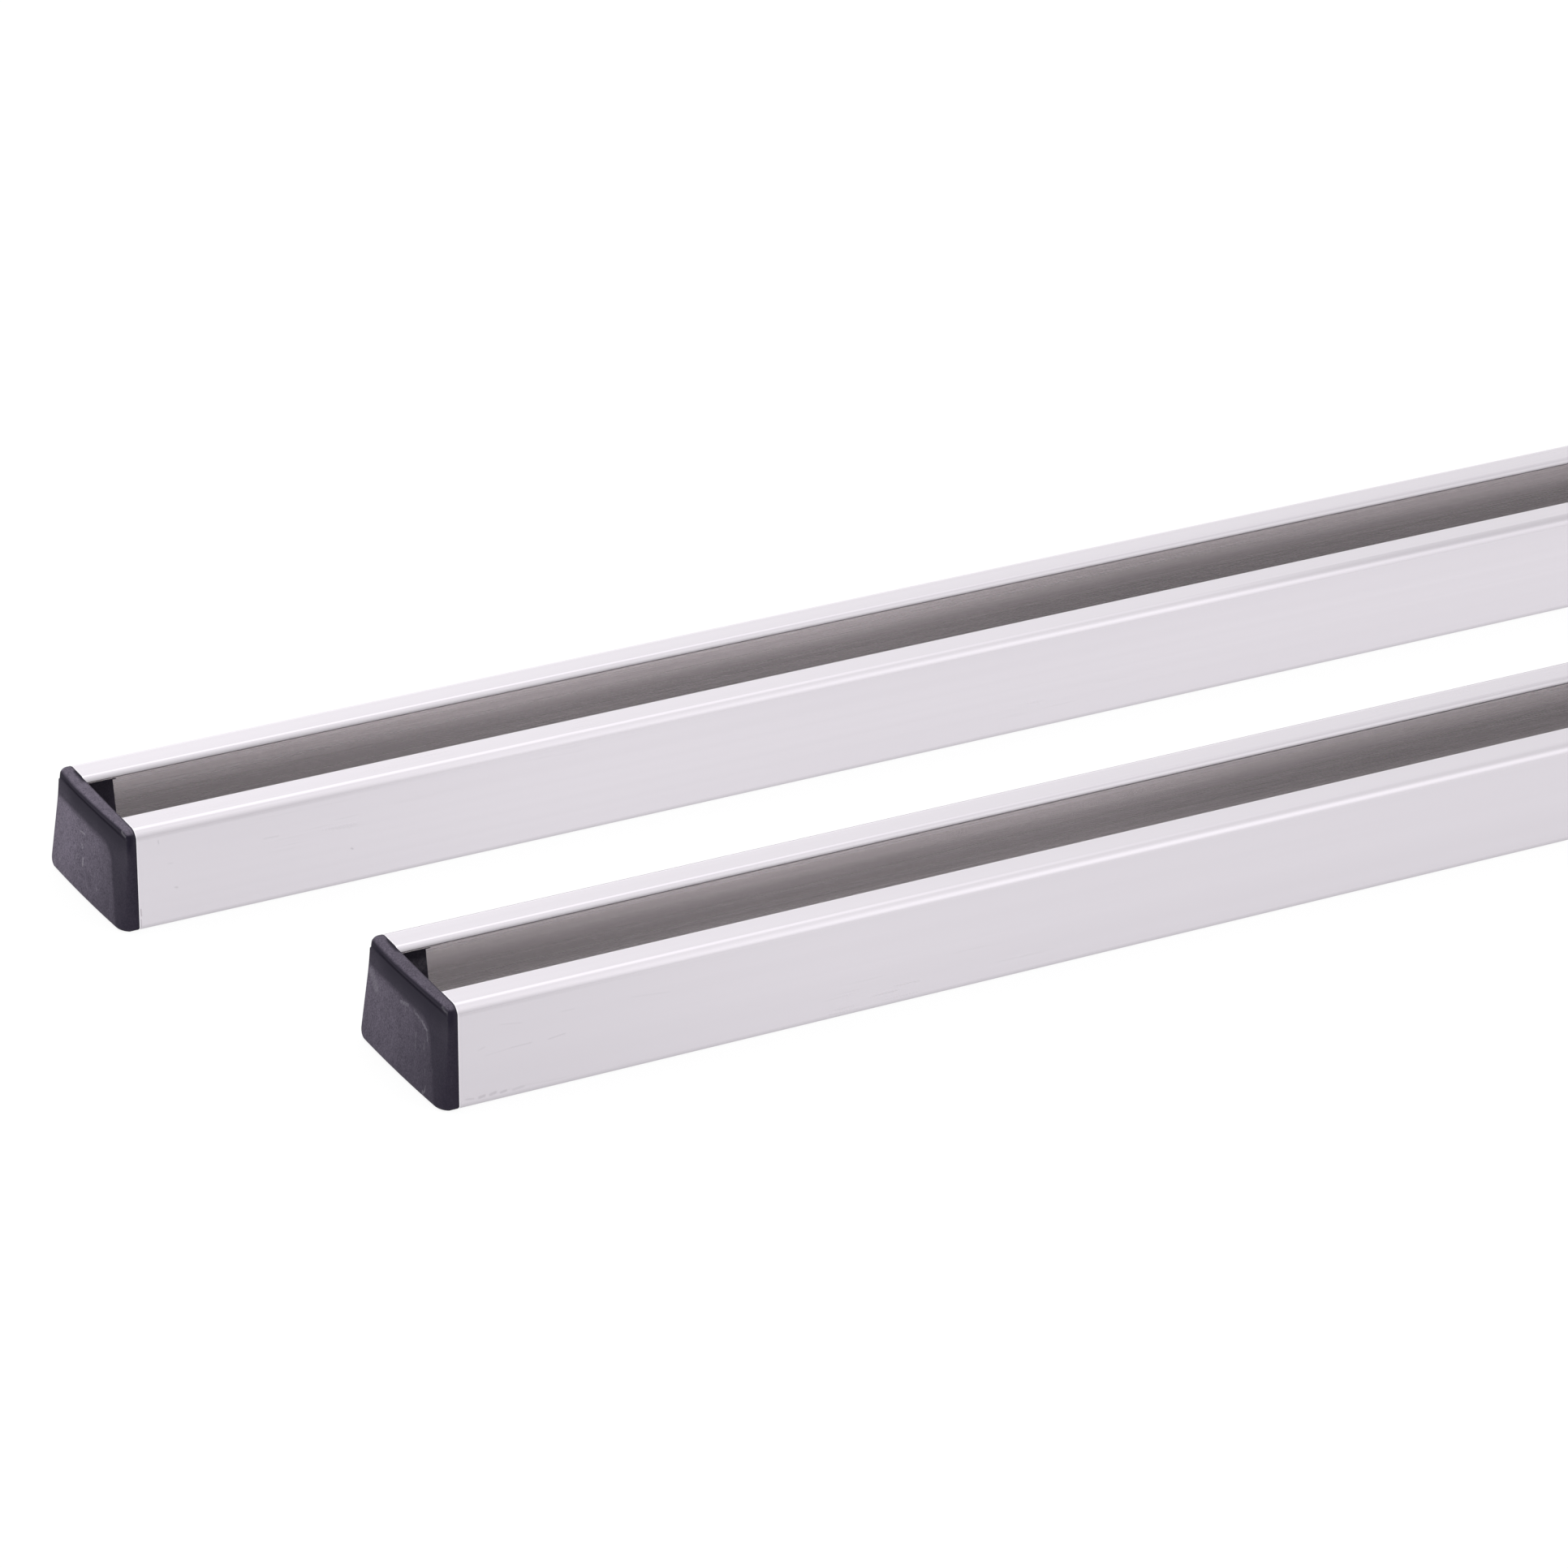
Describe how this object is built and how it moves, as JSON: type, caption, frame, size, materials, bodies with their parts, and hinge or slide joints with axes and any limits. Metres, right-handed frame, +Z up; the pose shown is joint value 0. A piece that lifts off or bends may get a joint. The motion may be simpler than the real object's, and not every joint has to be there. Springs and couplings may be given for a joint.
{
  "type": "pair of roof rails",
  "caption": "Straight aluminium roof rails of lipped C-section with an open top slot and black moulded end caps, for fixing loads and fittings to a vehicle roof.",
  "frame": {"origin": "middle of the pair's outline, on the plane that the undersides of the rails rest on", "axes": "+X along the rails, +Y from the front rail towards the rear rail, +Z up, out of the slots"},
  "size_m": [1.247, 0.186, 0.0306],
  "materials": {
    "rail_aluminium": "natural anodised, fine lengthwise extrusion lines, satin",
    "cap_plastic": "moulded black plastic, fine matt grain"
  },
  "bodies": {
    "root": {"rear_rail": "rail_aluminium", "front_rail": "rail_aluminium", "rear_rail_left_cap": "cap_plastic", "rear_rail_right_cap": "cap_plastic", "front_rail_left_cap": "cap_plastic", "front_rail_right_cap": "cap_plastic"}
  },
  "joints": []
}
